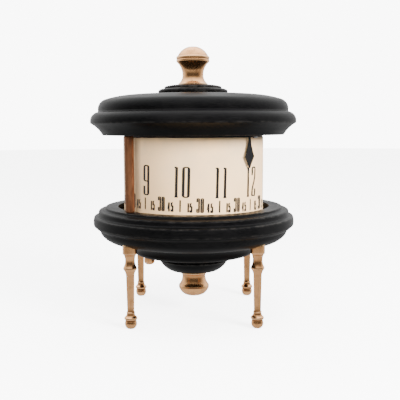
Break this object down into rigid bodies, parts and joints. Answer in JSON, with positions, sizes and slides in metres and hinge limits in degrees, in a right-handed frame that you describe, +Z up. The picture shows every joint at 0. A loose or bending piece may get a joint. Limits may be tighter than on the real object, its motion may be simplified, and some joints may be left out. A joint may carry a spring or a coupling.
{
  "type": "mantel clock",
  "caption": "Mantel clock with turned wooden lid and base on legs and a revolving drum dial read at a fixed pointer.",
  "frame": {"origin": "on the table under the drum's axis", "axes": "+Z up along the drum's axis, -Y towards the front"},
  "size_m": [0.163, 0.163, 0.2132],
  "materials": {
    "ebonised_wood": "satin ebonised and waxed",
    "rose_brass": "aged, hand polished",
    "copper_pillar": "dark copper brown",
    "black_metal": "matt black",
    "dial_paper": "printed, aged cream",
    "steel": "bright",
    "blued_steel": "blued",
    "movement_brass": "brushed"
  },
  "bodies": {
    "case": {"base_bowl": "ebonised_wood", "base_tier": "ebonised_wood", "base_boss": "ebonised_wood", "base_screws": "steel", "leg_front_left": "rose_brass", "leg_front_right": "rose_brass", "leg_back_left": "rose_brass", "leg_back_right": "rose_brass", "pillar_front_left": "copper_pillar", "pillar_back_left": "copper_pillar", "pillar_back_right": "copper_pillar", "lid_moulding": "ebonised_wood", "lid_bead": "ebonised_wood", "lid_cap": "ebonised_wood", "finial": "rose_brass", "finial_stud": "steel", "finial_nut": "steel", "pointer": "black_metal", "pointer_screw": "steel", "lower_plate": "movement_brass", "upper_plate": "movement_brass", "plate_pillars": "movement_brass", "plate_nuts": "steel", "mounting_posts": "movement_brass", "mounting_screws": "steel", "minute_stud": "steel", "click_screw": "steel", "click_spring": "blued_steel", "hairspring": "blued_steel"},
    "drum": {"drum_shell": "black_metal", "dial_band": "dial_paper", "drum_spider": "movement_brass", "spider_screws": "steel", "drum_nut": "movement_brass", "hour_wheel": "movement_brass"},
    "minute_wheel": {"minute_wheel": "movement_brass"},
    "hand_setting": {"setting_arbor": "steel", "cannon_pinion": "steel", "friction_spring": "blued_steel", "setting_knob": "rose_brass"},
    "centre_wheel": {"centre_wheel": "movement_brass", "centre_pinion": "steel"},
    "intermediate_wheel": {"intermediate_wheel": "movement_brass", "intermediate_pinion": "steel"},
    "barrel": {"barrel": "movement_brass", "barrel_cover": "movement_brass", "mainspring": "blued_steel"},
    "third_wheel": {"third_wheel": "movement_brass", "third_pinion": "steel"},
    "fourth_wheel": {"fourth_wheel": "movement_brass", "fourth_pinion": "steel"},
    "escape_wheel": {"escape_wheel": "movement_brass", "escape_pinion": "steel"},
    "pallet_lever": {"pallet_lever": "steel"},
    "balance": {"balance_wheel": "movement_brass", "balance_staff": "steel"},
    "winding": {"barrel_arbor": "steel", "ratchet_wheel": "steel", "winding_knob": "rose_brass"},
    "click": {"click": "steel"}
  },
  "joints": [
    {"name": "drum_turn", "type": "hinge", "parent": "case", "child": "drum", "pos_m": [0, 0, 0.118], "axis": [0, 0, 1], "continuous": true},
    {"name": "minute_wheel_turn", "type": "hinge", "parent": "case", "child": "minute_wheel", "pos_m": [-0.0025, 0.01418, 0.116], "axis": [0, 0, 1], "continuous": true},
    {"name": "setting_turn", "type": "hinge", "parent": "case", "child": "hand_setting", "pos_m": [0, 0, 0.09], "axis": [0, 0, 1], "continuous": true},
    {"name": "centre_wheel_turn", "type": "hinge", "parent": "case", "child": "centre_wheel", "pos_m": [0, 0, 0.096], "axis": [0, 0, 1], "continuous": true},
    {"name": "intermediate_wheel_turn", "type": "hinge", "parent": "case", "child": "intermediate_wheel", "pos_m": [-0.01914, -0.00207, 0.096], "axis": [0, 0, 1], "continuous": true},
    {"name": "barrel_turn", "type": "hinge", "parent": "case", "child": "barrel", "pos_m": [-0.03666, 0.00502, 0.092], "axis": [0, 0, 1], "continuous": true},
    {"name": "third_wheel_turn", "type": "hinge", "parent": "case", "child": "third_wheel", "pos_m": [0.009, -0.01559, 0.096], "axis": [0, 0, 1], "continuous": true},
    {"name": "fourth_wheel_turn", "type": "hinge", "parent": "case", "child": "fourth_wheel", "pos_m": [0.02328, -0.01559, 0.096], "axis": [0, 0, 1], "continuous": true},
    {"name": "escape_wheel_turn", "type": "hinge", "parent": "case", "child": "escape_wheel", "pos_m": [0.0294, -0.00499, 0.1], "axis": [0, 0, 1], "continuous": true},
    {"name": "pallet_lever_swing", "type": "hinge", "parent": "case", "child": "pallet_lever", "pos_m": [0.0294, 0.00341, 0.1075], "axis": [0, 0, 1], "range_deg": [-3.5, 3.5]},
    {"name": "balance_swing", "type": "hinge", "parent": "case", "child": "balance", "pos_m": [0.0278, 0.01247, 0.102], "axis": [0, 0, 1], "range_deg": [-200, 200], "stiffness_Nm_per_rad": 0.00001},
    {"name": "winding_turn", "type": "hinge", "parent": "case", "child": "winding", "pos_m": [-0.03666, 0.00502, 0.077], "axis": [0, 0, 1], "range_deg": [0, 1800]},
    {"name": "click_lift", "type": "hinge", "parent": "case", "child": "click", "pos_m": [-0.02666, 0.01522, 0.0774], "axis": [0, 0, 1], "range_deg": [-12, 0], "stiffness_Nm_per_rad": 0.0005}
  ],
  "couplings": [
    {"joint": "minute_wheel_turn", "follows": "drum_turn", "ratio": -4},
    {"joint": "setting_turn", "follows": "drum_turn", "ratio": 12},
    {"joint": "intermediate_wheel_turn", "follows": "centre_wheel_turn", "ratio": -0.16667},
    {"joint": "barrel_turn", "follows": "centre_wheel_turn", "ratio": 0.027778},
    {"joint": "third_wheel_turn", "follows": "centre_wheel_turn", "ratio": -8},
    {"joint": "fourth_wheel_turn", "follows": "centre_wheel_turn", "ratio": 60},
    {"joint": "escape_wheel_turn", "follows": "centre_wheel_turn", "ratio": -480}
  ]
}
